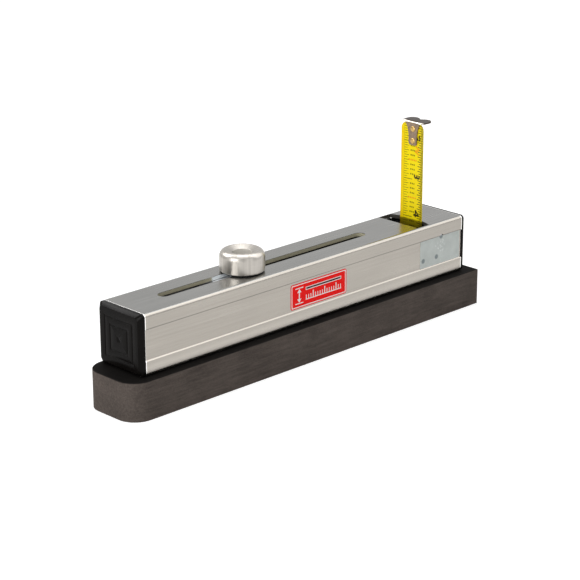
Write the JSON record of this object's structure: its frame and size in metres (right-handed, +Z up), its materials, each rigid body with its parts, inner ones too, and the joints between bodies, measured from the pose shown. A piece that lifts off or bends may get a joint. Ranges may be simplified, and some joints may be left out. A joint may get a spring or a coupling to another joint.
{
  "type": "chassis height gauge",
  "caption": "Free-standing ride-height gauge: a block slid along a square tube pushes a hooked steel tape up through its top, and a turned knob clamps it.",
  "frame": {"origin": "centre of the base's underside", "axes": "+X along the tube towards the tape, +Y to the back, away from the label, +Z up"},
  "size_m": [0.2992, 0.0444, 0.1276],
  "materials": {
    "base": "satin, dark warm grey, finely mottled",
    "tube": "brushed along its length, satin",
    "cap": "black, moulded, slightly glossy",
    "label": "printed label, left without words",
    "film": "clear film with a pale green cast",
    "pin_steel": "ground",
    "roller": "natural nylon",
    "guide": "black acetal",
    "block": "machined",
    "knob": "turned, bright",
    "dark_steel": "black oxide",
    "plated_steel": "zinc plated",
    "washer": "black nylon",
    "tape": "yellow lacquer over spring steel, printed scale",
    "hook": "dark, stamped",
    "rivet": "domed"
  },
  "bodies": {
    "housing": {"base_block": "base", "base_screws": "dark_steel", "threaded_inserts": "plated_steel", "tube": "tube", "end_cap_left": "cap", "end_cap_right": "cap", "label": "label", "pin_film": "film", "guide_pins": "pin_steel", "roller_axle": "pin_steel", "tape_guide_block": "guide", "tape_bend": "tape"},
    "carriage": {"slide_block": "block", "tape_tail_plate": "plated_steel", "tail_screw": "dark_steel", "tape_run": "tape"},
    "washer": {"knob_washer": "washer"},
    "knob": {"clamp_knob": "knob", "clamp_screw": "dark_steel"},
    "tape_head": {"tape_hook": "hook", "hook_rivets": "rivet", "tape_blade": "tape"},
    "roller": {"bend_roller": "roller"}
  },
  "joints": [
    {"name": "carriage_slide", "type": "slide", "parent": "housing", "child": "carriage", "axis": [1, 0, 0], "range_m": [-0.0627, 0.1026], "deforming": ["tape_run"]},
    {"name": "knob_rise", "type": "slide", "parent": "carriage", "child": "washer", "axis": [0, 0, 1], "range_m": [0, 0.00127]},
    {"name": "knob_turn", "type": "hinge", "parent": "washer", "child": "knob", "pos_m": [-0.0411, 0.00255, 0.06275], "axis": [0, 0, 1], "range_deg": [-3, 365]},
    {"name": "tape_rise", "type": "slide", "parent": "housing", "child": "tape_head", "axis": [0, 0, 1], "range_m": [-0.063, 0.103], "deforming": ["tape_blade"]},
    {"name": "roller_spin", "type": "hinge", "parent": "housing", "child": "roller", "pos_m": [0.1019, 0.00255, 0.0389], "axis": [0, 1, 0], "range_deg": [-710, 435]}
  ],
  "couplings": [
    {"joint": "tape_rise", "follows": "carriage_slide", "ratio": 1},
    {"joint": "roller_spin", "follows": "carriage_slide", "rad_per_m": -119.05},
    {"joint": "knob_turn", "follows": "knob_rise", "rad_per_m": 4947.4}
  ]
}
